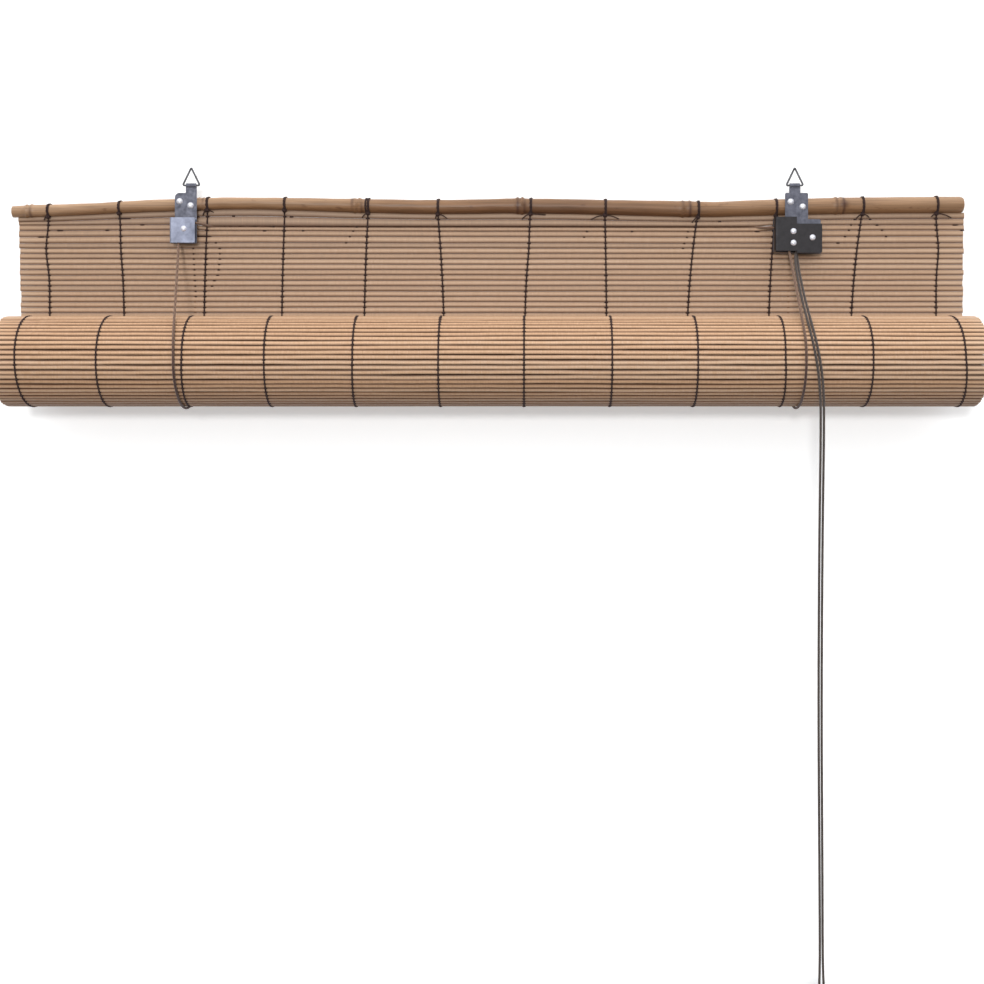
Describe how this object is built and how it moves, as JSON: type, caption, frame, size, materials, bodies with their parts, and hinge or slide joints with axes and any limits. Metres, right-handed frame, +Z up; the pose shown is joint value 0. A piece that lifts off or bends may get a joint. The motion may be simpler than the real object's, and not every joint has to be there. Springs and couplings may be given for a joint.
{
  "type": "bamboo roll-up blind",
  "caption": "Split-reed roll-up blind on a cane head pole, partly rolled, with wire hanging eyes, pulley blocks, a cord lock and long pull cords.",
  "frame": {"origin": "inner top of the left hanging eye, in the plane of the hanger straps", "axes": "+X along the blind to the right, +Y away from the viewer and +Z up"},
  "size_m": [0.8121, 0.096, 0.724],
  "materials": {
    "cane": "satin natural cane",
    "hanging_reed": "matt split reed, greyed",
    "rolled_reed": "satin split reed, warm tan",
    "batten": "plain wooden rod",
    "binding_string": "twisted dark brown string",
    "wire_eye": "bent steel wire",
    "strap_steel": "dull zinc-plated sheet",
    "nail_steel": "bright domed nail",
    "rivet_steel": "bright domed rivet",
    "bright_housing": "bright bluish zinc plate",
    "dark_housing": "gunmetal, slightly glossy",
    "pulley_steel": "turned steel",
    "cam_steel": "cast and tumbled steel",
    "cord": "braided taupe brown cord",
    "pull_cord": "braided dark taupe cord"
  },
  "bodies": {
    "blind": {"head_pole": "cane", "hanging_reeds": "hanging_reed", "rolled_reeds": "rolled_reed", "bottom_batten": "batten", "binding_string_01": "binding_string", "binding_string_02": "binding_string", "binding_string_03": "binding_string", "binding_string_04": "binding_string", "binding_string_05": "binding_string", "binding_string_06": "binding_string", "binding_string_07": "binding_string", "binding_string_08": "binding_string", "binding_string_09": "binding_string", "binding_string_10": "binding_string", "binding_string_11": "binding_string", "binding_string_12": "binding_string", "left_hanger_strap": "strap_steel", "right_hanger_strap": "strap_steel", "strap_nails": "nail_steel", "left_pulley_axle": "rivet_steel", "lock_pulley_axle": "rivet_steel", "cam_pivot_rivet": "rivet_steel", "anvil_rivet": "rivet_steel", "left_pulley_housing": "bright_housing", "cord_lock_housing": "dark_housing", "left_anchor_knot": "cord", "right_anchor_knot": "cord", "anchor_tacks": "nail_steel", "right_lift_cord": "cord", "left_lift_cord": "cord", "right_pull_cord": "pull_cord", "left_pull_cord": "pull_cord", "pull_cord_coil": "pull_cord", "coil_tie": "pull_cord", "left_end_knot": "pull_cord", "right_end_knot": "pull_cord"},
    "left_ring": {"left_ring": "wire_eye"},
    "right_ring": {"right_ring": "wire_eye"},
    "left_pulley": {"left_pulley": "pulley_steel"},
    "back_lock_pulley": {"back_lock_pulley": "pulley_steel"},
    "front_lock_pulley": {"front_lock_pulley": "pulley_steel"},
    "lock_cam": {"lock_cam": "cam_steel"}
  },
  "joints": [
    {"name": "left_ring_swing", "type": "hinge", "parent": "blind", "child": "left_ring", "pos_m": [0, 0, -0.01209], "axis": [1, 0, 0], "range_deg": [-120, 120]},
    {"name": "right_ring_swing", "type": "hinge", "parent": "blind", "child": "right_ring", "pos_m": [0.5115, 0, -0.01209], "axis": [1, 0, 0], "range_deg": [-120, 120]},
    {"name": "left_pulley_spin", "type": "hinge", "parent": "blind", "child": "left_pulley", "pos_m": [-0.0046, -0.004, -0.0495], "axis": [0, 1, 0], "continuous": true},
    {"name": "back_lock_pulley_spin", "type": "hinge", "parent": "blind", "child": "back_lock_pulley", "pos_m": [0.5084, -0.0034, -0.052], "axis": [0, 1, 0], "continuous": true},
    {"name": "front_lock_pulley_spin", "type": "hinge", "parent": "blind", "child": "front_lock_pulley", "pos_m": [0.5084, -0.007, -0.052], "axis": [0, 1, 0], "continuous": true},
    {"name": "lock_cam_swing", "type": "hinge", "parent": "blind", "child": "lock_cam", "pos_m": [0.5244, -0.0052, -0.0572], "axis": [0, -1, 0], "range_deg": [0, 35]}
  ]
}
